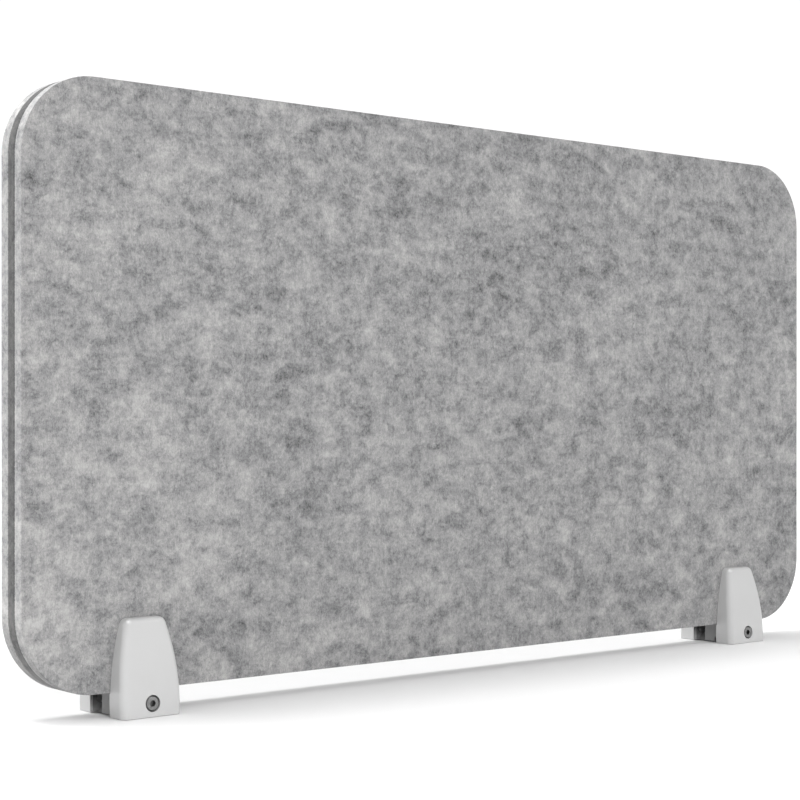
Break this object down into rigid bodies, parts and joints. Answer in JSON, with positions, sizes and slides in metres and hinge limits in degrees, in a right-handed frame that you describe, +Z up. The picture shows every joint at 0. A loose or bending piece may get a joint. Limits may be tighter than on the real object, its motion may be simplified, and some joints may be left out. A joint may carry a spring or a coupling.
{
  "type": "desk privacy panel",
  "caption": "Free-standing desk privacy panel: a rounded felt board with a dark core, clamped upright by white screw brackets that slide along its lower edge.",
  "frame": {"origin": "on the desk surface, under the middle of the panel's length and thickness", "axes": "+X along the panel to the right as seen from the front, +Y towards the rear, +Z up; the clamp screws' heads face -Y"},
  "size_m": [0.762, 0.0592, 0.412],
  "materials": {
    "felt_face": "heather grey pressed polyester felt",
    "felt_core": "dark grey pressed polyester felt",
    "shell_white": "satin off-white moulded shell",
    "carrier_grey": "mid grey moulded nylon",
    "housing_black": "near-black moulded nylon",
    "screw_black": "black oxide steel",
    "zinc_steel": "zinc-plated steel",
    "rubber_pad": "matt black rubber"
  },
  "bodies": {
    "panel": {"front_felt_panel": "felt_face", "core_board": "felt_core", "rear_felt_panel": "felt_face"},
    "left_bracket": {"left_rear_shell": "shell_white", "left_rear_housing": "housing_black", "left_captive_nut": "zinc_steel", "left_housing_screws": "zinc_steel", "left_rear_grip_pad": "rubber_pad", "left_rear_foot_pad": "rubber_pad"},
    "left_jaw": {"left_front_shell": "shell_white", "left_front_carrier": "carrier_grey", "left_carrier_screws": "zinc_steel", "left_front_grip_pad": "rubber_pad", "left_front_foot_pad": "rubber_pad", "left_screw_washer": "screw_black"},
    "left_screw": {"left_clamp_screw": "screw_black"},
    "right_bracket": {"right_rear_shell": "shell_white", "right_rear_housing": "housing_black", "right_captive_nut": "zinc_steel", "right_housing_screws": "zinc_steel", "right_rear_grip_pad": "rubber_pad", "right_rear_foot_pad": "rubber_pad"},
    "right_jaw": {"right_front_shell": "shell_white", "right_front_carrier": "carrier_grey", "right_carrier_screws": "zinc_steel", "right_front_grip_pad": "rubber_pad", "right_front_foot_pad": "rubber_pad", "right_screw_washer": "screw_black"},
    "right_screw": {"right_clamp_screw": "screw_black"}
  },
  "joints": [
    {"name": "left_bracket_slide", "type": "slide", "parent": "panel", "child": "left_bracket", "axis": [1, 0, 0], "range_m": [-0.008, 0.265]},
    {"name": "left_jaw_slide", "type": "slide", "parent": "left_bracket", "child": "left_jaw", "axis": [0, -1, 0], "range_m": [0, 0.004]},
    {"name": "left_screw_turn", "type": "hinge", "parent": "left_jaw", "child": "left_screw", "pos_m": [-0.2955, 0, 0.009], "axis": [0, -1, 0], "range_deg": [0, 1441]},
    {"name": "right_bracket_slide", "type": "slide", "parent": "panel", "child": "right_bracket", "axis": [-1, 0, 0], "range_m": [-0.008, 0.265]},
    {"name": "right_jaw_slide", "type": "slide", "parent": "right_bracket", "child": "right_jaw", "axis": [0, -1, 0], "range_m": [0, 0.004]},
    {"name": "right_screw_turn", "type": "hinge", "parent": "right_jaw", "child": "right_screw", "pos_m": [0.2955, 0, 0.009], "axis": [0, -1, 0], "range_deg": [0, 1441]}
  ],
  "couplings": [
    {"joint": "left_screw_turn", "follows": "left_jaw_slide", "rad_per_m": 6283.2},
    {"joint": "right_screw_turn", "follows": "right_jaw_slide", "rad_per_m": 6283.2}
  ]
}
